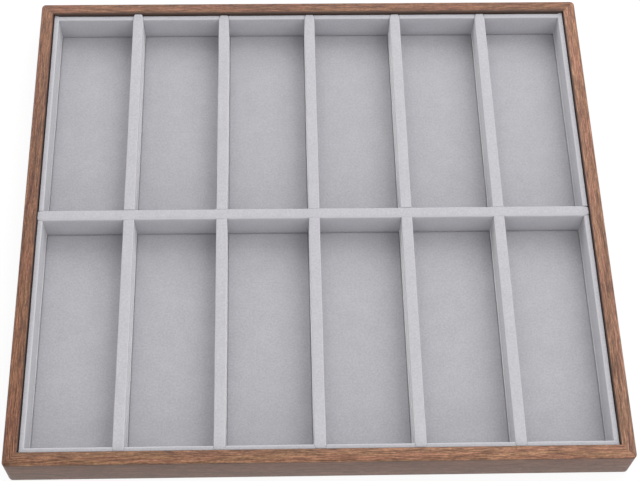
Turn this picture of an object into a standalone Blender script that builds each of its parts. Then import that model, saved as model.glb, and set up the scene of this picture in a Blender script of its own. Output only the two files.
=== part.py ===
"""A storage tray for glasses: a mitred wood-grain frame, with a lined insert in twelve compartments.

Metres, +Z up. X runs across the columns, and Y from the front rail to the back rail. The origin is
the middle of the underside, on the surface that the tray stands on.

The frame has four mitred rails, a base board in their rebate and a felt sheet under it. The insert
tray drops into the frame: a floor board in its velvet wrap, with velvet wall liners round its edge.
The divider grid drops into the insert tray: long dividers with notches in their top, and one cross
divider with slots in its underside that laps over them.
"""

import math

import bmesh
import bpy
from mathutils import Matrix, Vector

# Counts
COLUMNS = 6
CORNER_SEGMENTS = 6
EDGE_SEGMENTS = 3

# Edges that turn by more than this are sharp
SHARP_EDGE_ANGLE = math.radians(40)

# Frame rails
FRAME_WIDTH = 0.400
FRAME_DEPTH = 0.360
FRAME_HEIGHT = 0.0285
RAIL_THICKNESS = 0.0092
CORNER_RADIUS = 0.0030
RAIL_EDGE_RADIUS = 0.0014
REBATE_DEPTH = 0.0040

# Base of the frame
UNDERSIDE_RECESS = 0.0003
UNDERSIDE_LINING_THICKNESS = 0.0006
BASE_BOARD_THICKNESS = 0.0018

# Boards that are wrapped in velvet
BOARD_EDGE_RADIUS = 0.0004

# Insert tray
FLOOR_BOARD_THICKNESS = 0.0008
FLOOR_VELVET_THICKNESS = 0.0006
WALL_LINER_THICKNESS = 0.0034
WALL_LINER_TOP_DROP = 0.0023
WALL_LINER_EDGE_RADIUS = 0.0012

# Divider grid
DIVIDER_PITCH = 0.0639
DIVIDER_THICKNESS = 0.0074
DIVIDER_TOP_DROP = 0.0018
DIVIDER_VELVET_THICKNESS = 0.0008

# Clearances
SEAT_GAP = 0.0003
INSERT_CLEARANCE = 0.0005
REBATE_CLEARANCE = 0.0003
MITRE_GAP = 0.0003
LAP_CLEARANCE = 0.0003
CUT_OVERRUN = 0.0050

# Heights above the surface that the tray stands on, from the bottom up
LINING_BOTTOM = UNDERSIDE_RECESS
LINING_TOP = LINING_BOTTOM + UNDERSIDE_LINING_THICKNESS
BASE_BOTTOM = LINING_TOP + SEAT_GAP
BASE_TOP = BASE_BOTTOM + BASE_BOARD_THICKNESS
REBATE_TOP = BASE_TOP + SEAT_GAP
INSERT_BOTTOM = BASE_TOP + SEAT_GAP
FLOOR_BOARD_TOP = INSERT_BOTTOM + FLOOR_BOARD_THICKNESS
FLOOR_TOP = FLOOR_BOARD_TOP + SEAT_GAP + FLOOR_VELVET_THICKNESS
STANDING_BOTTOM = FLOOR_TOP + SEAT_GAP
WALL_LINER_TOP = FRAME_HEIGHT - WALL_LINER_TOP_DROP
DIVIDER_TOP = FRAME_HEIGHT - DIVIDER_TOP_DROP
LAP_HEIGHT = (STANDING_BOTTOM + DIVIDER_TOP) / 2

# Half widths and half depths, from the frame inwards
INNER_HALF_WIDTH = FRAME_WIDTH / 2 - RAIL_THICKNESS
INNER_HALF_DEPTH = FRAME_DEPTH / 2 - RAIL_THICKNESS
REBATE_HALF_WIDTH = INNER_HALF_WIDTH + REBATE_DEPTH
REBATE_HALF_DEPTH = INNER_HALF_DEPTH + REBATE_DEPTH
BASE_HALF_WIDTH = REBATE_HALF_WIDTH - REBATE_CLEARANCE
BASE_HALF_DEPTH = REBATE_HALF_DEPTH - REBATE_CLEARANCE
INSERT_HALF_WIDTH = INNER_HALF_WIDTH - INSERT_CLEARANCE
INSERT_HALF_DEPTH = INNER_HALF_DEPTH - INSERT_CLEARANCE
LINER_FACE_HALF_WIDTH = INSERT_HALF_WIDTH - WALL_LINER_THICKNESS
LINER_FACE_HALF_DEPTH = INSERT_HALF_DEPTH - WALL_LINER_THICKNESS
HALF_DIVIDER = DIVIDER_THICKNESS / 2

# Columns: the long dividers are evenly spaced, and the end columns take what is left
LONG_DIVIDERS = COLUMNS - 1
DIVIDER_CENTRES = [
    DIVIDER_PITCH * (number - LONG_DIVIDERS / 2 + 0.5) for number in range(LONG_DIVIDERS)
]
COLUMN_LEFTS = [-LINER_FACE_HALF_WIDTH] + [x + HALF_DIVIDER for x in DIVIDER_CENTRES]
COLUMN_RIGHTS = [x - HALF_DIVIDER for x in DIVIDER_CENTRES] + [LINER_FACE_HALF_WIDTH]

WALNUT_COLOUR = (0.262, 0.133, 0.085)
VELVET_COLOUR = (0.545, 0.540, 0.570)
FELT_COLOUR = (0.080, 0.075, 0.075)
FIBREBOARD_COLOUR = (0.360, 0.240, 0.140)
GREYBOARD_COLOUR = (0.330, 0.320, 0.300)


def new_material(name, colour, roughness):
    material = bpy.data.materials.new(name)
    material.use_nodes = True
    material.diffuse_color = (*colour, 1)
    shader = material.node_tree.nodes["Principled BSDF"]
    shader.inputs["Base Color"].default_value = (*colour, 1)
    shader.inputs["Roughness"].default_value = roughness
    shader.inputs["Metallic"].default_value = 0
    return material


def new_collection(name):
    collection = bpy.data.collections.new(name)
    bpy.context.scene.collection.children.link(collection)
    return collection


def new_group(name, height):
    """An empty on the vertical line that a lifted group of pieces moves along."""
    group = bpy.data.objects.new(name, None)
    group.location = (0, 0, height)
    PARTS.objects.link(group)
    return group


def box_mesh(name, size):
    """A box of that size, with the mesh's origin in its middle."""
    shape = bmesh.new()
    bmesh.ops.create_cube(shape, size=1, matrix=Matrix.Diagonal((*size, 1)))
    mesh = bpy.data.meshes.new(name)
    shape.to_mesh(mesh)
    shape.free()
    return mesh


def remove_underside(mesh):
    """Opens a box at the bottom, which leaves the outer face of a wrap."""
    shape = bmesh.new()
    shape.from_mesh(mesh)
    underside = [face for face in shape.faces if face.normal.z < 0]
    bmesh.ops.delete(shape, geom=underside, context="FACES_ONLY")
    shape.to_mesh(mesh)
    shape.free()


def is_top_edge(start, end):
    return start.z > 0 and end.z > 0


def is_upright_edge(start, end):
    return start.z * end.z < 0


def is_top_or_upright_edge(start, end):
    return start.z > 0 or end.z > 0


def place(name, mesh, centre, material, group):
    """A part with its middle at a point of the tray, carried by a group."""
    part = bpy.data.objects.new(name, mesh)
    mesh.materials.append(material)
    mesh.shade_smooth()
    part.parent = group
    part.location = Vector(centre) - group.location
    PARTS.objects.link(part)
    return part


def place_cutter(name, low, high, collection):
    cutter = bpy.data.objects.new(name, box_mesh(name, Vector(high) - Vector(low)))
    cutter.location = (Vector(low) + Vector(high)) / 2
    cutter.hide_render = True
    cutter.display_type = "WIRE"
    collection.objects.link(cutter)
    return cutter


def round_marked_edges(part, is_marked, radius, segments):
    """A Bevel on the edges of the part's own mesh that the test picks."""
    mesh = part.data
    weights = mesh.attributes.new("bevel_weight_edge", "FLOAT", "EDGE")
    for edge in mesh.edges:
        start, end = (mesh.vertices[index].co for index in edge.vertices)
        weights.data[edge.index].value = float(is_marked(start, end))
    bevel = part.modifiers.new("round_marked_edges", "BEVEL")
    bevel.limit_method = "WEIGHT"
    bevel.width = radius
    bevel.segments = segments
    bevel.harden_normals = True


def round_sharp_edges(part, radius, segments):
    bevel = part.modifiers.new("round_sharp_edges", "BEVEL")
    bevel.limit_method = "ANGLE"
    bevel.angle_limit = SHARP_EDGE_ANGLE
    bevel.width = radius
    bevel.segments = segments
    bevel.harden_normals = True


def thicken_inwards(part, thickness):
    solidify = part.modifiers.new("thicken_inwards", "SOLIDIFY")
    solidify.thickness = thickness
    solidify.offset = -1
    solidify.use_even_offset = True


def cut(part, cutter, operation="DIFFERENCE"):
    boolean = part.modifiers.new(cutter.name, "BOOLEAN")
    boolean.operation = operation
    boolean.object = cutter


def cut_each(part, cutters):
    boolean = part.modifiers.new(cutters.name, "BOOLEAN")
    boolean.operand_type = "COLLECTION"
    boolean.collection = cutters


def make_board(name, low, high, material, group):
    size = Vector(high) - Vector(low)
    centre = (Vector(low) + Vector(high)) / 2
    return place(name, box_mesh(name, size), centre, material, group)


def make_wrapped_board(board_name, wrap_name, low, high, velvet_thickness, material, group):
    """A board, and a velvet skin over its top, sides and ends. The box is the outside of the velvet.

    The board's edges, the velvet's fold round them and its outer edges are rounded about one centre.
    """
    skin = SEAT_GAP + velvet_thickness
    board_low = Vector(low) + Vector((skin, skin, 0))
    board_high = Vector(high) - Vector((skin, skin, skin))
    board = make_board(board_name, board_low, board_high, material, group)
    round_marked_edges(board, is_top_or_upright_edge, BOARD_EDGE_RADIUS, EDGE_SEGMENTS)
    wrap = make_board(wrap_name, low, high, VELVET, group)
    remove_underside(wrap.data)
    round_marked_edges(wrap, is_top_or_upright_edge, BOARD_EDGE_RADIUS + skin, EDGE_SEGMENTS)
    thicken_inwards(wrap, velvet_thickness)
    return board, wrap


def mitre_wedge(name, half_length, outer_face, turn):
    """A cutter that keeps one rail: a block along the rail whose ends run in at 45 degrees.

    It is shaped for the front rail, whose outer face is at Y = -outer_face, and turned about Z.
    """
    depth = RAIL_THICKNESS + 2 * CUT_OVERRUN
    outer_half = half_length + CUT_OVERRUN - MITRE_GAP / math.sqrt(2)
    mesh = box_mesh(name, (2 * outer_half, depth, FRAME_HEIGHT + 2 * CUT_OVERRUN))
    for corner in mesh.vertices:
        is_inner = corner.co.y > 0
        if is_inner:
            corner.co.x = math.copysign(outer_half - depth, corner.co.x)
        corner.co.y += RAIL_THICKNESS / 2 - outer_face
    wedge = bpy.data.objects.new(name, mesh)
    wedge.location = (0, 0, FRAME_HEIGHT / 2)
    wedge.rotation_euler = (0, 0, turn)
    wedge.hide_render = True
    wedge.display_type = "WIRE"
    CUTTERS.objects.link(wedge)
    return wedge


def make_frame_rails():
    """Each rail is the whole rounded ring cut down to its own side between two mitres."""
    opening = place_cutter(
        "frame_opening",
        (-INNER_HALF_WIDTH, -INNER_HALF_DEPTH, -CUT_OVERRUN),
        (INNER_HALF_WIDTH, INNER_HALF_DEPTH, FRAME_HEIGHT + CUT_OVERRUN),
        CUTTERS,
    )
    rebate = place_cutter(
        "base_rebate",
        (-REBATE_HALF_WIDTH, -REBATE_HALF_DEPTH, -CUT_OVERRUN),
        (REBATE_HALF_WIDTH, REBATE_HALF_DEPTH, REBATE_TOP),
        CUTTERS,
    )
    sides = [
        ("front", FRAME_WIDTH / 2, FRAME_DEPTH / 2, 0),
        ("right", FRAME_DEPTH / 2, FRAME_WIDTH / 2, math.pi / 2),
        ("back", FRAME_WIDTH / 2, FRAME_DEPTH / 2, math.pi),
        ("left", FRAME_DEPTH / 2, FRAME_WIDTH / 2, -math.pi / 2),
    ]
    for side, half_length, outer_face, turn in sides:
        name = f"frame_rail_{side}"
        block = box_mesh(name, (FRAME_WIDTH, FRAME_DEPTH, FRAME_HEIGHT))
        rail = place(name, block, (0, 0, FRAME_HEIGHT / 2), WALNUT, FRAME)
        round_marked_edges(rail, is_upright_edge, CORNER_RADIUS, CORNER_SEGMENTS)
        round_sharp_edges(rail, RAIL_EDGE_RADIUS, EDGE_SEGMENTS)
        cut(rail, opening)
        cut(rail, rebate)
        cut(rail, mitre_wedge(f"mitre_{side}", half_length, outer_face, turn), "INTERSECT")


def make_base():
    """The board that closes the frame from below, and the felt under it."""
    make_board(
        "base_board",
        (-BASE_HALF_WIDTH, -BASE_HALF_DEPTH, BASE_BOTTOM),
        (BASE_HALF_WIDTH, BASE_HALF_DEPTH, BASE_TOP),
        FIBREBOARD,
        FRAME,
    )
    make_board(
        "underside_lining",
        (-BASE_HALF_WIDTH, -BASE_HALF_DEPTH, LINING_BOTTOM),
        (BASE_HALF_WIDTH, BASE_HALF_DEPTH, LINING_TOP),
        FELT,
        FRAME,
    )


def make_floor():
    make_wrapped_board(
        "floor_board",
        "floor_velvet",
        (-INSERT_HALF_WIDTH, -INSERT_HALF_DEPTH, INSERT_BOTTOM),
        (INSERT_HALF_WIDTH, INSERT_HALF_DEPTH, FLOOR_TOP),
        FLOOR_VELVET_THICKNESS,
        GREYBOARD,
        INSERT,
    )


def make_wall_liner(name, low, high):
    """A strip of greyboard with velvet bonded to it, which stands on the floor between two dividers."""
    liner = make_board(name, (*low, STANDING_BOTTOM), (*high, WALL_LINER_TOP), VELVET, INSERT)
    round_marked_edges(liner, is_top_edge, WALL_LINER_EDGE_RADIUS, EDGE_SEGMENTS)


def make_side_wall_liners():
    """The left and right liners run from the front or back rail to the cross divider."""
    inner_end = HALF_DIVIDER + SEAT_GAP
    for side, x_low in (("left", -INSERT_HALF_WIDTH), ("right", LINER_FACE_HALF_WIDTH)):
        x_high = x_low + WALL_LINER_THICKNESS
        make_wall_liner(f"wall_liner_{side}_front", (x_low, -INSERT_HALF_DEPTH), (x_high, -inner_end))
        make_wall_liner(f"wall_liner_{side}_back", (x_low, inner_end), (x_high, INSERT_HALF_DEPTH))


def make_end_wall_liners():
    """The front and back liners each fill one column, from divider to divider or side liner."""
    for column, (left, right) in enumerate(zip(COLUMN_LEFTS, COLUMN_RIGHTS), start=1):
        x_low, x_high = left + SEAT_GAP, right - SEAT_GAP
        for side, y_low in (("front", -INSERT_HALF_DEPTH), ("back", LINER_FACE_HALF_DEPTH)):
            y_high = y_low + WALL_LINER_THICKNESS
            make_wall_liner(f"wall_liner_{side}_{column}", (x_low, y_low), (x_high, y_high))


def make_divider(kind, suffix, low, high):
    return make_wrapped_board(
        f"{kind}_core{suffix}",
        f"{kind}_velvet{suffix}",
        (*low, STANDING_BOTTOM),
        (*high, DIVIDER_TOP),
        DIVIDER_VELVET_THICKNESS,
        FIBREBOARD,
        GRID,
    )


def make_long_dividers():
    """They run from rail to rail, with a notch in the top that the cross divider drops into."""
    notch_half = HALF_DIVIDER + LAP_CLEARANCE
    notch = place_cutter(
        "cross_divider_notch",
        (-INNER_HALF_WIDTH, -notch_half, LAP_HEIGHT),
        (INNER_HALF_WIDTH, notch_half, DIVIDER_TOP + CUT_OVERRUN),
        CUTTERS,
    )
    end = INNER_HALF_DEPTH - SEAT_GAP
    for number, x in enumerate(DIVIDER_CENTRES, start=1):
        low = (x - HALF_DIVIDER, -end)
        high = (x + HALF_DIVIDER, end)
        for piece in make_divider("long_divider", f"_{number}", low, high):
            cut(piece, notch)


def make_cross_divider():
    """It runs from rail to rail, with a slot in its underside over each long divider."""
    slots = bpy.data.collections.new("long_divider_slots")
    CUTTERS.children.link(slots)
    slot_half = HALF_DIVIDER + LAP_CLEARANCE
    slot_depth_half = HALF_DIVIDER + CUT_OVERRUN
    for number, x in enumerate(DIVIDER_CENTRES, start=1):
        place_cutter(
            f"long_divider_slot_{number}",
            (x - slot_half, -slot_depth_half, STANDING_BOTTOM - CUT_OVERRUN),
            (x + slot_half, slot_depth_half, LAP_HEIGHT + SEAT_GAP),
            slots,
        )
    end = INNER_HALF_WIDTH - SEAT_GAP
    for piece in make_divider("cross_divider", "", (-end, -HALF_DIVIDER), (end, HALF_DIVIDER)):
        cut_each(piece, slots)


for old in list(bpy.data.objects):
    bpy.data.objects.remove(old)

PARTS = new_collection("glasses_storage_box")
CUTTERS = new_collection("cutters")
CUTTERS.hide_render = True

WALNUT = new_material("walnut_veneer", WALNUT_COLOUR, 0.5)
VELVET = new_material("grey_velvet", VELVET_COLOUR, 0.9)
FELT = new_material("dark_felt", FELT_COLOUR, 0.95)
FIBREBOARD = new_material("fibreboard", FIBREBOARD_COLOUR, 0.8)
GREYBOARD = new_material("greyboard", GREYBOARD_COLOUR, 0.85)

FRAME = new_group("frame", 0)
INSERT = new_group("insert_tray", INSERT_BOTTOM)
GRID = new_group("divider_grid", STANDING_BOTTOM)

make_frame_rails()
make_base()
make_floor()
make_side_wall_liners()
make_end_wall_liners()
make_long_dividers()
make_cross_divider()
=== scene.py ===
"""The looks of the glasses storage box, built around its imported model. Metres, in the model's own frame.

Veneered rails, velvet over the dividers, liners and floor, and felt under the base take the place of
their plain solids, each where its solid is. The boards inside keep their solids and get a finish.
"""

import math
from collections import namedtuple

import bmesh
import bpy
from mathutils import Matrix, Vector, noise


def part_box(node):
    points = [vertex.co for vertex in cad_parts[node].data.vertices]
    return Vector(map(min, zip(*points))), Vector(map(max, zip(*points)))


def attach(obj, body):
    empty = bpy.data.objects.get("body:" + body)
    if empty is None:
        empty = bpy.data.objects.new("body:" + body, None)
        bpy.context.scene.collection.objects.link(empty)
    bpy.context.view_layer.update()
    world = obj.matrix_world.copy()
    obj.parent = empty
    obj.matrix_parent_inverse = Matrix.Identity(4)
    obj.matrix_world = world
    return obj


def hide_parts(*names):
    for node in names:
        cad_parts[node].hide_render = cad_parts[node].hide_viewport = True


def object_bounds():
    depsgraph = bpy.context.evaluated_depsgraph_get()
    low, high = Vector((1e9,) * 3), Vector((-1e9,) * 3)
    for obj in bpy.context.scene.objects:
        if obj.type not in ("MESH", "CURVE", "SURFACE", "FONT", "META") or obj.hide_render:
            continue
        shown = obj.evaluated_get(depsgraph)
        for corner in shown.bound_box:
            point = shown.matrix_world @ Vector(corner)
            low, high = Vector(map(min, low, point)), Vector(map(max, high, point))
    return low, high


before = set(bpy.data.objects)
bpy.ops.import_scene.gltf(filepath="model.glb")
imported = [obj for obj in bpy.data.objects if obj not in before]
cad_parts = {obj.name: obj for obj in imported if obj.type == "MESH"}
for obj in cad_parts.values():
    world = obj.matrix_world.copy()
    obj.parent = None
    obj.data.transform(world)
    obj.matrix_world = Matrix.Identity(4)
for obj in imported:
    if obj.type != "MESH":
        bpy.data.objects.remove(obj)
CAD_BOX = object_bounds()

# Camera, fitted to the frame's edges, the dividers and the floor seams in the photograph
CAMERA_PLACE = (-0.02842, -0.46355, 0.8577)
CAMERA_ANGLES_DEG = (28.466, -0.822, -1.071)
CAMERA_LENS_MM = 77.50
CAMERA_SENSOR_MM = 36
CAMERA_SHIFT = (0.0265, -0.0165)
CAMERA_NEAREST = 0.01

# Frame
TRAY_HIGH = CAD_BOX[1]
FRONT_RAIL_LOW, FRONT_RAIL_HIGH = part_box("frame_rail_front")
BASE_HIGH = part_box("base_board")[1]
FLOOR_LOW, FLOOR_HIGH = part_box("floor_velvet")
RAIL_THICKNESS = FRONT_RAIL_HIGH.y - FRONT_RAIL_LOW.y
INNER_HALF_WIDTH = TRAY_HIGH.x - RAIL_THICKNESS
INNER_HALF_DEPTH = TRAY_HIGH.y - RAIL_THICKNESS
CORNER_RADIUS = 0.0030
RAIL_EDGE_RADIUS = 0.0014
RAIL_INNER_EDGE_RADIUS = 0.0008
REBATE_CLEARANCE = 0.0003
GLUE_LINE = 0.00002

# Velvet round the dividers: its foot curls in, and its (left, right) top edges have these radii.
# The cross divider's edges turn into those of a crossing over the ease.
VELVET_THICKNESS = 0.0005
FOOT_CURL = 0.0007
DIVIDER_EDGES = (0.0009, 0.0009)
CROSS_DIVIDER_EDGES = (0.0016, 0.0008)
CROSSING_EDGES = (0.0004, 0.0004)
CROSSING_EASE = 0.0025

# Ends, which narrow by inset on each side over reach, and whose top rounds down over radius.
# The cross divider has a front end on its left and a back end on its right.
End = namedtuple("End", "reach inset radius")
FRONT_END = End(reach=0.0034, inset=0.0006, radius=0.0006)
BACK_END = End(reach=0.0060, inset=0.0012, radius=0.0009)
LOOSE_END = BACK_END._replace(radius=FRONT_END.radius)
LINER_END = End(reach=0.0005, inset=0.0001, radius=0.0001)
END_STRETCH = 0.0002

# Liners, which lap where they end in the corner zone of the tray, and close round the dividers' ends
LINER_INNER_EDGE = 0.0012
LINER_OUTER_EDGE = 0.0006
LINER_CORNER_LAP = 0.0012
LINER_STRETCH = 0.00025
LINER_HUG_REACH = 0.0030
BACK_HUG_SHARE = 0.5
FRONT_LINER_LEAN = 0.0004
CORNER_ZONE = 0.020

# Floor, with the dent of each wall: (share of the reach, share of the depth) away from the wall
FLOOR_EDGE_RADIUS = 0.0006
FLOOR_EDGE_BEND_SHARE = 0.3
DENT_DEPTH = 0.0004
DENT_REACH = 0.0006
DENT_SHARES = ((0, 1), (0.35, 1), (0.7, 0.3), (1, 0.05))

# Seams of the half-laps, wider behind the crossings of these dividers
LAP_SEAM = 0.00004
WIDE_LAP_SEAMS = {1: 0.0003, 4: 0.0002}

# The divider whose velvet has come loose and stands up at its back end
LOOSE_DIVIDER = 1
LOOSE_REACH = 0.006
LOOSE_RISE = 0.0015

# The liners and dividers stand in the dents that they press into the floor
WALL_FOOT = FLOOR_HIGH.z - DENT_DEPTH / 2

# How far boards and cloth wander from flat, and over what distance. Unseeded, Blender's noise vectors
# follow the clock, so the seed gives the same shapes each run.
BOARD_WANDER = 0.00012
BOARD_WANDER_SIZE = 0.030
CLOTH_WANDER = 0.00006
CLOTH_WANDER_SIZE = 0.007
WANDER_SEED = 1

# How finely shapes are divided
ARC_STEPS = 6
INNER_ARC_STEPS = 3
FOOT_STEPS = 2
SIDE_STEPS = 4
TOP_STEPS = 3
RAIL_STEP = 0.020
BOARD_STEP = 0.004
SHEET_STEP = 0.004
MERGE_DISTANCE = 0.000001
SHARP_ANGLE = math.radians(50)

DIVIDER_NUMBERS = range(1, 6)

# Colours, linear
WHITE = (1, 1, 1, 1)
STUDIO_GREY = (0.25, 0.25, 0.25, 1)
FLOOR_VELVET_TONES = (0.380, 0.375, 0.400, 1), (0.460, 0.455, 0.480, 1)
VELVET_TONES = (0.384, 0.379, 0.404, 1), (0.456, 0.451, 0.476, 1)
# Painted highlight: a lighter velvet colour for the rounded edges
VELVET_PAINTED_HIGHLIGHT = (0.500, 0.495, 0.520, 1)
FELT_TONES = (0.055, 0.050, 0.050, 1), (0.090, 0.085, 0.085, 1)
FIBREBOARD_TONES = (0.26, 0.17, 0.10, 1), (0.42, 0.30, 0.19, 1)
GREYBOARD_TONES = (0.27, 0.26, 0.24, 1), (0.38, 0.37, 0.35, 1)
WALNUT_DARK = (0.080, 0.032, 0.018, 1)
WALNUT_MIDDLE = (0.190, 0.085, 0.045, 1)
WALNUT_LIGHT = (0.350, 0.168, 0.093, 1)
WALNUT_REDDER = (1.04, 0.94, 0.95, 1)
WALNUT_YELLOWER = (0.98, 0.99, 0.90, 1)
# Painted shade: darker tones for the rails' upright sides
WALNUT_SHADED_SIDE_DARK = (0.070, 0.037, 0.029, 1)
WALNUT_SHADED_SIDE_LIGHT = (0.114, 0.061, 0.048, 1)
WALNUT_PORE = (0.060, 0.030, 0.022, 1)
# Dark colour for the line along the opening, partly painted shade, and for the line on the outer edge
WALNUT_EDGE = (0.055, 0.032, 0.024, 1)

# Tints of each rail at the low and the high end of its axis
FRONT_TINTS = (0.86, 0.95, 0.96, 1), (1.18, 1.28, 1.38, 1)
RIGHT_TINTS = (1.04, 1.19, 1.40, 1), (1.22, 1.32, 1.50, 1)
BACK_TINTS = (0.88, 0.88, 0.93, 1), (0.88, 0.89, 0.93, 1)
LEFT_TINTS = (0.83, 0.83, 0.86, 1), (0.83, 0.83, 0.86, 1)

# Noises of the velvet: size of the blotches, detail, roughness
LAY = (0.010, 3, 0.55)
CLUMPS = (0.0012, 2, 0.6)
PILE = (0.0004, 2, 0.5)
LAY_SHARE = 0.25
VELVET_RANGE = (0.35, 0.65)
VELVET_ROUGHNESS = (0.85, 1.0)
VELVET_SPECULAR = 0.2
VELVET_SHEEN = 1.0
FELT_SHEEN = 0.1
SHEEN_ROUGHNESS = 0.2
PILE_HEIGHT, PILE_STRENGTH = 0.00012, 0.5

# Where the rounded edges get a painted highlight, by how much they face up: a ramp up, then a ramp down
HIGHLIGHT_RISE, HIGHLIGHT_FALL = (0.15, 0.50), (0.80, 0.97)

# Noises of the walnut: how far each is drawn out, size of the blotches, detail, roughness
BANDS = (22, 0.0028, 2, 0.5)
STREAKS = (16, 0.0007, 3, 0.75)
FIBRES = (5, 0.0005, 3, 0.75)
PORES = (5, 0.0006, 2, 0.5)
STRETCHES = (12, 0.0035, 1, 0.5)
BAND_SHARE = 0.2
DARK_STOP, MIDDLE_STOP, LIGHT_STOP = 0.38, 0.50, 0.62
FIBRE_RANGE = (0.3, 0.7)
STRETCH_RANGE = (0.35, 0.65)
PORE_RANGE, PORE_COVER = (0.60, 0.70), 0.55
WALNUT_ROUGHNESS = (0.50, 0.38)
WALNUT_SPECULAR = 0.35
GRAIN_HEIGHT, GRAIN_STRENGTH = 0.0001, 0.3

# The drift that makes the grain wavy: its noise, and how far it goes
DRIFT = (0.030, 3, 0.5)
DRIFT_REACH = 0.0035
NOISE_MIDDLE = 0.5

# Sides darkened as painted shade, by how much they face up, and their streaks
SIDE_SHADE_RANGE, SIDE_SHADE_COVER = (0, 0.8), 0.65
SIDE_STREAK_RANGE = (0.4, 0.6)

# Where the dark line along the opening starts to fade, partly a dark foil edge and partly painted shade,
# and where the one on the outer edge is, by how much that faces up
EDGE_START = 0.0001
LINE_RISE, LINE_FALL, LINE_COVER = (0.02, 0.25), (0.45, 0.70), 0.5

# Noises of the raw boards, as for the walnut
BOARD_FIBRES = (4, 0.0008, 4, 0.6)
CARD_FIBRES = (2, 0.0012, 4, 0.6)
BOARD_ROUGHNESS = 0.85
BOARD_HEIGHT, BOARD_STRENGTH = 0.0001, 0.4

# Studio: the floor's glow, and the distances over which it fades to white
WORLD_STRENGTH = 0.60
STUDIO_GLOW = 0.87
STUDIO_FADE = (0.8, 2.5)
STUDIO_FLOOR_HALF = 8
STUDIO_FLOOR_DROP = 0.0002
STUDIO_FLOOR_ROUGHNESS = 0.9

# Square lamps that face the middle of the tray: side in metres, power in watts
Lamp = namedtuple("Lamp", "name place size power")
LAMPS = (
    Lamp("right", (1.27, 0, 1.27), 2.2, 23),
    Lamp("back", (0, 1.27, 1.27), 1.2, 11.5),
    Lamp("back_left", (-2.42, 2.42, 1.12), 2.4, 54),
    Lamp("front", (0, -1.71, 0.56), 1.2, 11),
)


def set_input(tree, socket, value):
    """Gives an input its value, a number or a colour, or the socket that feeds it."""
    if isinstance(value, bpy.types.NodeSocket):
        tree.links.new(value, socket)
    else:
        socket.default_value = value


def set_inputs(tree, node, inputs):
    """The same for several inputs of a node, by their names or numbers."""
    for name, value in inputs.items():
        set_input(tree, node.inputs[name], value)


def add_node(tree, kind, inputs=None, **settings):
    """A shader node with these inputs and settings."""
    node = tree.nodes.new(kind)
    for name, value in settings.items():
        setattr(node, name, value)
    set_inputs(tree, node, inputs or {})
    return node


def new_material(name):
    """A new material, its node tree, its shader and the object's own coordinates."""
    material = bpy.data.materials.new(name)
    material.use_nodes = True
    tree = material.node_tree
    place = add_node(tree, "ShaderNodeTexCoord").outputs["Object"]
    return material, tree, tree.nodes["Principled BSDF"], place


def speckle(tree, place, size, detail, roughness):
    """Smooth noise from 0 to 1 whose blotches have about that size in metres."""
    inputs = {"Vector": place, "Scale": 1 / size, "Detail": detail, "Roughness": roughness}
    return add_node(tree, "ShaderNodeTexNoise", inputs).outputs["Fac"]


def drawn_out(tree, place, stretch, size, detail, roughness):
    """Such noise, drawn out along X."""
    narrow = add_node(tree, "ShaderNodeMapping", {"Vector": place, "Scale": (1 / stretch, 1, 1)})
    return speckle(tree, narrow.outputs[0], size, detail, roughness)


def split(tree, vector):
    """The X, Y and Z of a vector."""
    return add_node(tree, "ShaderNodeSeparateXYZ", {"Vector": vector}).outputs


def arithmetic(tree, operation, first, second=0):
    return add_node(tree, "ShaderNodeMath", {0: first, 1: second}, operation=operation).outputs[0]


def mixed(tree, first, second, share):
    """That share of the first value and the rest of the second."""
    first = arithmetic(tree, "MULTIPLY", first, share)
    return arithmetic(tree, "ADD", first, arithmetic(tree, "MULTIPLY", second, 1 - share))


def ramp(tree, value, span, result=(0, 1)):
    """Goes through result while the value goes through span, and stays level beyond it."""
    inputs = {"Value": value, "From Min": span[0], "From Max": span[1]}
    inputs.update({"To Min": result[0], "To Max": result[1]})
    return add_node(tree, "ShaderNodeMapRange", inputs).outputs[0]


def band(tree, value, rise, fall):
    """1 where the value is between the spans rise and fall, ramps over them, and 0 beyond them."""
    return arithmetic(tree, "MULTIPLY", ramp(tree, value, rise), ramp(tree, value, fall, (1, 0)))


def blend_colours(tree, factor, first, second, mode="MIX"):
    node = add_node(tree, "ShaderNodeMix", data_type="RGBA", blend_type=mode)
    for name, value in (("Factor", factor), ("A", first), ("B", second)):
        socket = next(socket for socket in node.inputs if socket.name == name and socket.enabled)
        set_input(tree, socket, value)
    return next(socket for socket in node.outputs if socket.enabled)


def multiplied(tree, colour, *tints):
    for tint in tints:
        colour = blend_colours(tree, 1.0, colour, tint, "MULTIPLY")
    return colour


def bumped(tree, height, distance, strength):
    inputs = {"Height": height, "Distance": distance, "Strength": strength}
    return add_node(tree, "ShaderNodeBump", inputs).outputs["Normal"]


def facing_up(tree):
    """1 on a level top, 0 on an upright side, and between the two on a rounded edge."""
    return split(tree, add_node(tree, "ShaderNodeTexCoord").outputs["Normal"])["Z"]


def velvet_material(name, tones, sheen, highlight_colour=None):
    """Short pile: blotches where it lies differently, a fine grain, and light caught by its tips.

    Its rounded edges are lightened towards the highlight colour, if there is one, as a painted highlight.
    """
    material, tree, shader, place = new_material(name)
    lay, clumps = speckle(tree, place, *LAY), speckle(tree, place, *CLUMPS)
    shade = ramp(tree, mixed(tree, lay, clumps, LAY_SHARE), VELVET_RANGE)
    colour = blend_colours(tree, shade, *tones)
    if highlight_colour:
        # Painted highlight: the rounded edges are lightened where the velvet would catch the light
        highlight_share = band(tree, facing_up(tree), HIGHLIGHT_RISE, HIGHLIGHT_FALL)
        colour = blend_colours(tree, highlight_share, colour, highlight_colour)
    height = arithmetic(tree, "ADD", speckle(tree, place, *PILE), clumps)
    set_inputs(tree, shader, {
        "Base Color": colour,
        "Roughness": ramp(tree, lay, (0, 1), VELVET_ROUGHNESS),
        "Specular IOR Level": VELVET_SPECULAR,
        "Sheen Weight": sheen,
        "Sheen Roughness": SHEEN_ROUGHNESS,
        "Sheen Tint": WHITE,
        "Normal": bumped(tree, height, PILE_HEIGHT, PILE_STRENGTH),
    })
    return material


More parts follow.
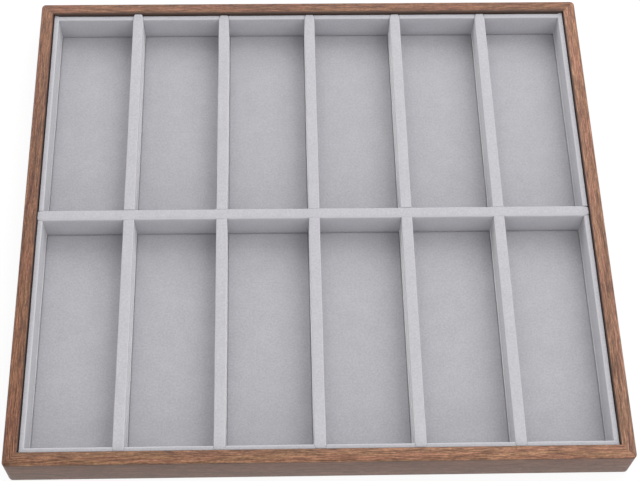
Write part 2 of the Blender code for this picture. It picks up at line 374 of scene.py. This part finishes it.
def wavy_grain(tree, place, along_y):
    """Coordinates with X along the rail, whose Y drifts to and fro so that the grain is wavy."""
    turn = (0, 0, math.pi / 2) if along_y else (0, 0, 0)
    turned = add_node(tree, "ShaderNodeMapping", {"Vector": place, "Rotation": turn}).outputs[0]
    drift = arithmetic(tree, "SUBTRACT", speckle(tree, turned, *DRIFT), NOISE_MIDDLE)
    parts = split(tree, turned)
    across = arithmetic(tree, "ADD", parts["Y"], arithmetic(tree, "MULTIPLY", drift, DRIFT_REACH))
    inputs = {"X": parts["X"], "Y": across, "Z": parts["Z"]}
    return add_node(tree, "ShaderNodeCombineXYZ", inputs).outputs[0]


def foil_colour(tree, wavy, streaks, contrast):
    """Streaks in three tones, with redder and yellower stretches and finer fibres of that contrast."""
    tones = add_node(tree, "ShaderNodeValToRGB", {"Fac": streaks})
    stops = tones.color_ramp.elements
    stops[0].position, stops[0].color = DARK_STOP, WALNUT_DARK
    stops[1].position, stops[1].color = LIGHT_STOP, WALNUT_LIGHT
    stops.new(MIDDLE_STOP).color = WALNUT_MIDDLE
    fibres = ramp(tree, drawn_out(tree, wavy, *FIBRES), FIBRE_RANGE, (1 - contrast, 1 + contrast))
    stretches = ramp(tree, drawn_out(tree, wavy, *STRETCHES), STRETCH_RANGE)
    hue = blend_colours(tree, stretches, WALNUT_REDDER, WALNUT_YELLOWER)
    return multiplied(tree, tones.outputs[0], fibres, hue)


def past_opening(tree, parts):
    """How far a place on the frame is from its opening."""
    beyond = [
        arithmetic(tree, "SUBTRACT", arithmetic(tree, "ABSOLUTE", parts[axis]), half)
        for axis, half in (("X", INNER_HALF_WIDTH), ("Y", INNER_HALF_DEPTH))
    ]
    return arithmetic(tree, "MAXIMUM", *beyond)


def walnut_material(name, along_y, tints, contrast, dark_and_shaded_reach):
    """Walnut-grain foil: long wavy streaks, finer fibres and short dark pores.

    Its tint changes along the rail, and its sides are darker, as painted shade. It has a dark line
    along the opening, partly a dark foil edge and partly painted shade, which ends dark_and_shaded_reach
    away from it, and another on its rounded outer edge.
    """
    material, tree, shader, place = new_material(name)
    parts, facing = split(tree, place), facing_up(tree)
    wavy = wavy_grain(tree, place, along_y)
    bands, streaks = drawn_out(tree, wavy, *BANDS), drawn_out(tree, wavy, *STREAKS)
    streaks = mixed(tree, bands, streaks, BAND_SHARE)

    along, half_length = ("Y", TRAY_HIGH.y) if along_y else ("X", TRAY_HIGH.x)
    share = ramp(tree, parts[along], (-half_length, half_length))
    tint = blend_colours(tree, share, *tints)
    colour = multiplied(tree, foil_colour(tree, wavy, streaks, contrast), tint)

    side_streaks = ramp(tree, streaks, SIDE_STREAK_RANGE)
    shaded_side_colour = blend_colours(tree, side_streaks, WALNUT_SHADED_SIDE_DARK, WALNUT_SHADED_SIDE_LIGHT)
    # Painted shade: the upright sides take the darker side colour
    colour = blend_colours(tree, ramp(tree, facing, SIDE_SHADE_RANGE, (SIDE_SHADE_COVER, 0)), colour, shaded_side_colour)

    pores = ramp(tree, drawn_out(tree, wavy, *PORES), PORE_RANGE, (0, PORE_COVER))
    colour = blend_colours(tree, pores, colour, WALNUT_PORE)

    # Partly painted shade: the dark line stands for a dark foil edge and for the shade in the gap and on
    # the inner edge
    inner_edge = ramp(tree, past_opening(tree, parts), (EDGE_START, dark_and_shaded_reach))
    colour = blend_colours(tree, inner_edge, WALNUT_EDGE, colour)
    outer_line = arithmetic(tree, "MULTIPLY", band(tree, facing, LINE_RISE, LINE_FALL), LINE_COVER)
    colour = blend_colours(tree, outer_line, colour, WALNUT_EDGE)

    set_inputs(tree, shader, {
        "Base Color": colour,
        "Roughness": ramp(tree, streaks, (0, 1), WALNUT_ROUGHNESS),
        "Specular IOR Level": WALNUT_SPECULAR,
        "Normal": bumped(tree, streaks, GRAIN_HEIGHT, GRAIN_STRENGTH),
    })
    return material


def board_material(name, tones, fibres):
    """A raw board: fine fibres in two tones."""
    material, tree, shader, place = new_material(name)
    fibres = drawn_out(tree, place, *fibres)
    set_inputs(tree, shader, {
        "Base Color": blend_colours(tree, ramp(tree, fibres, FIBRE_RANGE), *tones),
        "Roughness": BOARD_ROUGHNESS,
        "Normal": bumped(tree, fibres, BOARD_HEIGHT, BOARD_STRENGTH),
    })
    return material


FLOOR_VELVET = velvet_material("floor_velvet", FLOOR_VELVET_TONES, VELVET_SHEEN)
VELVET = velvet_material("light_grey_velvet", VELVET_TONES, VELVET_SHEEN, VELVET_PAINTED_HIGHLIGHT)
FELT = velvet_material("charcoal_felt", FELT_TONES, FELT_SHEEN)
WALNUTS = {
    # Each rail's reach of the dark line along the opening follows painted shade on its inner edge, widest
    # on the back
    "front": walnut_material("walnut_front", False, FRONT_TINTS, contrast=0.50, dark_and_shaded_reach=0.0006),
    "right": walnut_material("walnut_right", True, RIGHT_TINTS, contrast=0.30, dark_and_shaded_reach=0.0008),
    "back": walnut_material("walnut_back", False, BACK_TINTS, contrast=0.45, dark_and_shaded_reach=0.0022),
    "left": walnut_material("walnut_left", True, LEFT_TINTS, contrast=0.50, dark_and_shaded_reach=0.0004),
}
FIBREBOARD = board_material("pressed_fibreboard", FIBREBOARD_TONES, BOARD_FIBRES)
GREYBOARD = board_material("pressed_greyboard", GREYBOARD_TONES, CARD_FIBRES)


def wander(point):
    """The point moved by smooth noise, because no board or cloth is perfectly straight."""
    board = noise.noise_vector(point / BOARD_WANDER_SIZE) * BOARD_WANDER
    cloth = noise.noise_vector(point / CLOTH_WANDER_SIZE) * CLOTH_WANDER
    return point + board + cloth


def rounding(radius, steps):
    """(x, y) round a corner that lies at the origin, from (radius, 0) to (0, radius)."""
    angles = [math.pi / 2 * step / steps for step in range(steps + 1)]
    return [(radius * (1 - math.sin(angle)), radius * (1 - math.cos(angle))) for angle in angles]


def spaced(low, high, step):
    """Numbers from low to high, about a step apart."""
    count = max(1, round((high - low) / step))
    return [low + (high - low) * number / count for number in range(count + 1)]


def new_piece(name, points, faces, material):
    mesh = bpy.data.meshes.new(name)
    mesh.from_pydata(points, [], faces)
    shape = bmesh.new()
    shape.from_mesh(mesh)
    bmesh.ops.remove_doubles(shape, verts=shape.verts, dist=MERGE_DISTANCE)
    bmesh.ops.recalc_face_normals(shape, faces=shape.faces)
    shape.to_mesh(mesh)
    shape.free()
    mesh.shade_smooth()
    mesh.set_sharp_from_angle(angle=SHARP_ANGLE)
    mesh.materials.append(material)
    piece = bpy.data.objects.new(name, mesh)
    bpy.context.scene.collection.objects.link(piece)
    return piece


def stand_for(piece, node, body):
    """The piece takes the place of a solid, which is hidden, and moves with the body that it is attached
    to.
    """
    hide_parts(node)
    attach(piece, body)


def thicken(piece, name, thickness, offset):
    """Gives an open sheet its thickness, towards its inside for an offset of -1, or both ways for 0."""
    skin = piece.modifiers.new(name, "SOLIDIFY")
    skin.thickness = thickness
    skin.offset = offset


def ring_faces(ring_count, ring_size, closed):
    """Quads between neighbouring rings of points, with a face over each end."""
    faces = []
    for ring in range(ring_count - 1):
        for point in range(ring_size if closed else ring_size - 1):
            after = (point + 1) % ring_size
            near, far = ring * ring_size, (ring + 1) * ring_size
            faces.append((near + point, near + after, far + after, far + point))
    faces.append(tuple(range(ring_size)))
    faces.append(tuple(range((ring_count - 1) * ring_size, ring_count * ring_size)))
    return faces


def grid_faces(columns, rows):
    """Quads of a sheet whose points run down its columns."""
    faces = []
    for column in range(columns - 1):
        for row in range(rows - 1):
            near, far = column * rows + row, (column + 1) * rows + row
            faces.append((near, far, far + 1, near + 1))
    return faces


def rail_section():
    """Points (inward from the outer face, height) round a rail, with the rebate for the base."""
    outer_edge = rounding(RAIL_EDGE_RADIUS, ARC_STEPS)
    inner_edge = rounding(RAIL_INNER_EDGE_RADIUS, INNER_ARC_STEPS)
    rebate_depth = TRAY_HIGH.x - BASE_HIGH.x - REBATE_CLEARANCE
    points = list(outer_edge)
    points += [(inward, TRAY_HIGH.z - down) for inward, down in reversed(outer_edge)]
    points += [(RAIL_THICKNESS - outward, TRAY_HIGH.z - down) for outward, down in inner_edge]
    points += [(RAIL_THICKNESS, FLOOR_LOW.z), (rebate_depth, FLOOR_LOW.z), (rebate_depth, 0)]
    return points


def corner_ring(section, angle, half_length):
    """The section at a rail's left end, turned by that angle round the rail's half of the corner."""
    ring = []
    for inward, height in section:
        along = -half_length + inward
        if inward < CORNER_RADIUS:
            reach = CORNER_RADIUS - inward
            along = -half_length + CORNER_RADIUS - reach * math.cos(angle)
            inward = CORNER_RADIUS - reach * math.sin(angle)
        ring.append((along + GLUE_LINE / 2, inward, height))
    return ring


def make_rail(side, half_length, half_depth, turn):
    """The section swept along one side of the tray, with half a rounded corner and a mitre at each end."""
    section = rail_section()
    angles = [math.pi / 4 * (1 + step / ARC_STEPS) for step in range(ARC_STEPS + 1)]
    left = [corner_ring(section, angle, half_length) for angle in angles]
    right = [[(-along, inward, height) for along, inward, height in ring] for ring in reversed(left)]
    reach = half_length - RAIL_THICKNESS - RAIL_EDGE_RADIUS
    places = spaced(-reach, reach, RAIL_STEP)
    middle = [[(along, inward, height) for inward, height in section] for along in places]
    rings = left + middle + right
    cosine, sine = round(math.cos(turn)), round(math.sin(turn))
    points = []
    for ring in rings:
        for x, inward, height in ring:
            y = inward - half_depth
            points.append((cosine * x - sine * y, sine * x + cosine * y, height))
    faces = ring_faces(len(rings), len(section), True)
    piece = new_piece(f"veneered_rail_{side}", points, faces, WALNUTS[side])
    stand_for(piece, f"frame_rail_{side}", "frame")


def make_rails():
    half_width, half_depth = TRAY_HIGH.x, TRAY_HIGH.y
    make_rail("front", half_width, half_depth, 0)
    make_rail("right", half_depth, half_width, math.pi / 2)
    make_rail("back", half_width, half_depth, math.pi)
    make_rail("left", half_depth, half_width, -math.pi / 2)


def make_underside_felt():
    low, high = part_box("underside_lining")
    columns, rows = spaced(low.x, high.x, SHEET_STEP), spaced(low.y, high.y, SHEET_STEP)
    points = [Vector((x, y, (low.z + high.z) / 2)) for x in columns for y in rows]
    piece = new_piece("underside_felt", points, grid_faces(len(columns), len(rows)), FELT)
    thicken(piece, "felt", high.z - low.z, 0)
    stand_for(piece, "underside_lining", "frame")


def wrap_round(piece):
    """Makes an open shell a sheet of velvet that is stretched over its core."""
    thicken(piece, "velvet", VELVET_THICKNESS, -1)


def dented_lines(low, high, drop, walls):
    """(place, dip) of the floor's lines along one axis, turned down at its ends and dented by the walls."""
    radius, bend = FLOOR_EDGE_RADIUS, FLOOR_EDGE_RADIUS * FLOOR_EDGE_BEND_SHARE
    start = [(low, drop), (low, radius), (low + bend, bend), (low + radius, DENT_DEPTH)]
    dent = [(DENT_REACH * reach, DENT_DEPTH * depth) for reach, depth in DENT_SHARES]
    lines = list(start)
    for (_, face), (next_face, _) in zip(walls, walls[1:]):
        level = spaced(face + 2 * DENT_REACH, next_face - 2 * DENT_REACH, SHEET_STEP)
        lines += [(face + away, dip) for away, dip in dent]
        lines += [(place, 0) for place in level]
        lines += [(next_face - away, dip) for away, dip in reversed(dent)]
    return lines + [(low + high - place, dip) for place, dip in reversed(start)]


def make_floor_velvet():
    """The floor's velvet, with the dent that each liner and divider presses into its pile."""
    low, high = FLOOR_LOW, FLOOR_HIGH
    drop = high.z - low.z
    left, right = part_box("wall_liner_left_front"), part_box("wall_liner_right_front")
    front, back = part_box("wall_liner_front_1"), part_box("wall_liner_back_1")
    dividers = [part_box(f"long_divider_velvet_{number}") for number in DIVIDER_NUMBERS]
    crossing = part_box("cross_divider_velvet")
    columns = dented_lines(low.x, high.x, drop, [(a.x, b.x) for a, b in [left, *dividers, right]])
    rows = dented_lines(low.y, high.y, drop, [(a.y, b.y) for a, b in [front, crossing, back]])
    points = [
        wander(Vector((x, y, high.z - max(dip_x, dip_y)))) for x, dip_x in columns for y, dip_y in rows
    ]
    piece = new_piece("velvet_over_floor", points, grid_faces(len(columns), len(rows)), FLOOR_VELVET)
    stand_for(piece, "floor_velvet", "insert_tray")
    wrap_round(piece)


# A cross-section of a wrapped board: its place along the board, how far each side is drawn in, the
# heights of its foot and top, and the radii of its left and right top edge
Station = namedtuple("Station", "place inset bottom top edges")


def board_side(half, bottom, top, edge):
    """Points (outward, height) up one side of a wrapped board, from its foot to its top."""
    points = [(half - inward, bottom + up) for inward, up in rounding(FOOT_CURL, FOOT_STEPS)]
    low, high = bottom + FOOT_CURL, top - edge
    points += [(half, low + (high - low) * step / SIDE_STEPS) for step in range(1, SIDE_STEPS)]
    points += [(half - inward, top - down) for inward, down in reversed(rounding(edge, ARC_STEPS))]
    return points


def board_section(half, bottom, top, edges):
    """Points (across, height) of a wrapped board, from its left foot over the top to its right foot."""
    left = [(-outward, height) for outward, height in board_side(half, bottom, top, edges[0])]
    right = board_side(half, bottom, top, edges[1])
    start, width = left[-1][0], right[-1][0] - left[-1][0]
    middle = [(start + width * step / TOP_STEPS, top) for step in range(1, TOP_STEPS)]
    return left + middle + right[::-1]


def narrowing(place, end):
    """How much an end has narrowed on each side, at a place that far from its tip."""
    share = min(1, max(0, 1 - place / end.reach))
    return end.inset * (1 - math.sqrt(1 - share**2))


def end_stations(tip, other_tip, bottom, top, edges, end):
    """Stations of an end, from its tip towards the other one."""
    way = math.copysign(1, other_tip - tip)
    level = end.reach - end.radius
    outline = rounding(end.radius, ARC_STEPS)
    outline += [(0, end.radius + level * step / SIDE_STEPS) for step in range(1, SIDE_STEPS + 1)]
    return [
        Station(tip + way * away, narrowing(away, end), bottom, top - drop, edges)
        for drop, away in outline
    ]


def plain_stations(low, high, bottom, top, edges):
    return [Station(place, 0, bottom, top, edges) for place in spaced(low, high, BOARD_STEP)]


def lifted(stations, tip):
    """The stations with the top raised towards the tip, where the velvet has come loose."""
    shares = [max(0, 1 - abs(station.place - tip) / LOOSE_REACH) for station in stations]
    return [
        station._replace(top=station.top + LOOSE_RISE * share**2)
        for station, share in zip(stations, shares)
    ]


def board_piece(name, stations, centre, half, along_x, closed, shift=None, lean=0):
    """A wrapped board: its section at each station along it, with a closed or an open underside.

    shift gives how far a point at (place along it, place across it) moves along it, and lean
    how far its top leans to the left.
    """
    points = []
    for station in stations:
        section = board_section(half - station.inset, station.bottom, station.top, station.edges)
        for across, height in section:
            rise = (height - station.bottom) / (station.top - station.bottom)
            along, across = station.place, centre + across - lean * rise
            along += shift(along, across) if shift else 0
            x, y = (along, across) if along_x else (across, along)
            points.append(wander(Vector((x, y, height))))
    ring_size = len(points) // len(stations)
    return new_piece(name, points, ring_faces(len(stations), ring_size, closed), VELVET)


def make_liner(node):
    """Card with velvet over its face and top, padded enough to round its edges."""
    low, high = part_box(node)
    along_x = high.x - low.x > high.y - low.y
    start, end = (low.x, high.x) if along_x else (low.y, high.y)
    behind_cross = not along_x and start > 0
    corner = TRAY_HIGH.x - CORNER_ZONE
    start_stretch = LINER_CORNER_LAP if start < -corner else LINER_STRETCH
    end_stretch = LINER_CORNER_LAP if end > corner else LINER_STRETCH
    if behind_cross:
        start_stretch = 0
    start, end = start - start_stretch, end + end_stretch

    half = (high.y - low.y if along_x else high.x - low.x) / 2
    centre = (low.y + high.y if along_x else low.x + high.x) / 2
    edges = (LINER_OUTER_EDGE, LINER_INNER_EDGE)
    sizes = (WALL_FOOT, high.z, edges if centre < 0 else edges[::-1])
    stations = end_stations(start, end, *sizes, LINER_END)
    stations += plain_stations(start + BOARD_STEP, end - BOARD_STEP, *sizes)
    stations += reversed(end_stations(end, start, *sizes, LINER_END))

    divider_low, divider_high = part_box("long_divider_velvet_1" if along_x else "cross_divider_velvet")
    axis = 1 if along_x else 0

    def hug(along, across):
        """The liner's ends keep to the sides of the dividers where those narrow towards their tips."""
        front = narrowing(across - divider_low[axis], FRONT_END)
        back = narrowing(divider_high[axis] - across, BACK_END) * BACK_HUG_SHARE
        near_start = 0 if behind_cross else max(0, 1 - (along - start) / LINER_HUG_REACH)
        near_end = max(0, 1 - (end - along) / LINER_HUG_REACH)
        return (front + back) * (near_end - near_start)

    lean = FRONT_LINER_LEAN if along_x and centre < 0 else 0
    piece = board_piece(f"velvet_{node}", stations, centre, half, along_x, True, hug, lean)
    stand_for(piece, node, "insert_tray")


def make_long_divider(number, cross_low, cross_high, lap):
    """Velvet over a long divider, with the notch that the cross divider lies in."""
    low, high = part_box(f"long_divider_velvet_{number}")
    half, centre = (high.x - low.x) / 2, (low.x + high.x) / 2
    sizes = (WALL_FOOT, high.z, DIVIDER_EDGES)
    notch_low = cross_low.y - LAP_SEAM
    notch_high = cross_high.y + WIDE_LAP_SEAMS.get(number, LAP_SEAM)
    stations = end_stations(low.y, high.y, *sizes, FRONT_END)
    stations += plain_stations(low.y + 2 * BOARD_STEP, notch_low, *sizes)
    stations += plain_stations(notch_low, notch_high, WALL_FOOT, lap, DIVIDER_EDGES)
    back = plain_stations(notch_high, high.y - 2 * BOARD_STEP, *sizes)
    if number == LOOSE_DIVIDER:
        tip = high.y + END_STRETCH
        back = lifted(back + end_stations(tip, low.y, *sizes, LOOSE_END)[::-1], tip)
    else:
        back += reversed(end_stations(high.y, low.y, *sizes, BACK_END))
    stations += back
    piece = board_piece(f"velvet_over_long_divider_{number}", stations, centre, half, False, False)
    stand_for(piece, f"long_divider_velvet_{number}", "divider_grid")
    wrap_round(piece)


def make_cross_divider(lap):
    """Velvet over the cross divider, open from below where it laps over each long divider."""
    low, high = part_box("cross_divider_velvet")
    half = (high.y - low.y) / 2
    sizes = (WALL_FOOT, high.z, CROSS_DIVIDER_EDGES)
    stations = end_stations(low.x - END_STRETCH, high.x, *sizes, FRONT_END)
    start = low.x + 2 * BOARD_STEP
    for number in DIVIDER_NUMBERS:
        slot_low, slot_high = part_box(f"long_divider_velvet_{number}")
        slot = slot_low.x - LAP_SEAM, slot_high.x + LAP_SEAM
        stations += plain_stations(start, slot[0] - CROSSING_EASE, *sizes)
        stations.append(Station(slot[0], 0, WALL_FOOT, high.z, CROSSING_EDGES))
        stations += plain_stations(*slot, lap, high.z, CROSSING_EDGES)
        stations.append(Station(slot[1], 0, WALL_FOOT, high.z, CROSSING_EDGES))
        start = slot[1] + CROSSING_EASE
    stations += plain_stations(start, high.x - 2 * BOARD_STEP, *sizes)
    stations += reversed(end_stations(high.x, low.x, *sizes, BACK_END))
    piece = board_piece("velvet_over_cross_divider", stations, 0, half, True, False)
    stand_for(piece, "cross_divider_velvet", "divider_grid")
    wrap_round(piece)


def make_dividers():
    low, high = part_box("cross_divider_velvet")
    lap = (low.z + high.z) / 2
    for number in DIVIDER_NUMBERS:
        make_long_divider(number, low, high, lap - LAP_SEAM)
    make_cross_divider(lap + LAP_SEAM)


def finish_boards():
    """The boards inside keep their solids."""
    for node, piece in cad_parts.items():
        if "core" in node or node.endswith("board"):
            piece.data.materials.clear()
            piece.data.materials.append(GREYBOARD if node == "floor_board" else FIBREBOARD)


def make_camera():
    camera = bpy.data.objects.new("camera", bpy.data.cameras.new("camera"))
    camera.location = CAMERA_PLACE
    camera.rotation_euler = [math.radians(angle) for angle in CAMERA_ANGLES_DEG]
    camera.data.lens = CAMERA_LENS_MM
    camera.data.sensor_width = CAMERA_SENSOR_MM
    camera.data.shift_x, camera.data.shift_y = CAMERA_SHIFT
    camera.data.clip_start = CAMERA_NEAREST
    bpy.context.scene.collection.objects.link(camera)
    bpy.context.scene.camera = camera


def make_lamp(name, place, size, power):
    lamp = bpy.data.lights.new(name, "AREA")
    lamp.size = size
    lamp.energy = power
    light = bpy.data.objects.new(name, lamp)
    light.location = place
    light.rotation_euler = Vector(place).to_track_quat("Z", "Y").to_euler()
    bpy.context.scene.collection.objects.link(light)


def make_world():
    """Even light from all round, and plain white where the camera sees past the floor."""
    world = bpy.data.worlds.new("studio")
    bpy.context.scene.world = world
    world.use_nodes = True
    tree = world.node_tree
    lighting = tree.nodes["Background"]
    set_inputs(tree, lighting, {"Color": WHITE, "Strength": WORLD_STRENGTH})
    white = add_node(tree, "ShaderNodeBackground", {"Color": WHITE, "Strength": 1.0})
    seen = add_node(tree, "ShaderNodeLightPath").outputs["Is Camera Ray"]
    mix = add_node(tree, "ShaderNodeMixShader", {0: seen, 1: lighting.outputs[0], 2: white.outputs[0]})
    set_inputs(tree, tree.nodes["World Output"], {"Surface": mix.outputs[0]})


def make_floor():
    """A pale studio floor that looks white where nothing shades it, and far from the tray."""
    material, tree, shader, place = new_material("studio_floor")
    rays = add_node(tree, "ShaderNodeLightPath").outputs
    seen = arithmetic(tree, "MAXIMUM", rays["Is Camera Ray"], rays["Is Glossy Ray"])
    seen = arithmetic(tree, "MAXIMUM", seen, rays["Is Transmission Ray"])
    set_inputs(tree, shader, {
        "Base Color": blend_colours(tree, seen, STUDIO_GREY, WHITE),
        "Roughness": STUDIO_FLOOR_ROUGHNESS,
        "Specular IOR Level": 0,
    })
    white = add_node(tree, "ShaderNodeEmission", {"Color": WHITE, "Strength": 1.0})
    away = add_node(tree, "ShaderNodeVectorMath", {0: place}, operation="LENGTH").outputs["Value"]
    share = arithmetic(tree, "MULTIPLY", seen, ramp(tree, away, STUDIO_FADE, (STUDIO_GLOW, 1)))
    mix = add_node(tree, "ShaderNodeMixShader", {0: share, 1: shader.outputs[0], 2: white.outputs[0]})
    set_inputs(tree, tree.nodes["Material Output"], {"Surface": mix.outputs[0]})
    half = STUDIO_FLOOR_HALF
    corners = ((-half, -half), (half, -half), (half, half), (-half, half))
    points = [(x, y, -STUDIO_FLOOR_DROP) for x, y in corners]
    new_piece("studio_floor", points, [(0, 1, 2, 3)], material)


noise.seed_set(WANDER_SEED)
make_rails()
make_underside_felt()
make_floor_velvet()
for liner in sorted(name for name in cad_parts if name.startswith("wall_liner")):
    make_liner(liner)
make_dividers()
finish_boards()

make_camera()
make_world()
for lamp in LAMPS:
    make_lamp(*lamp)
make_floor()
bpy.context.scene.view_settings.view_transform = "Standard"
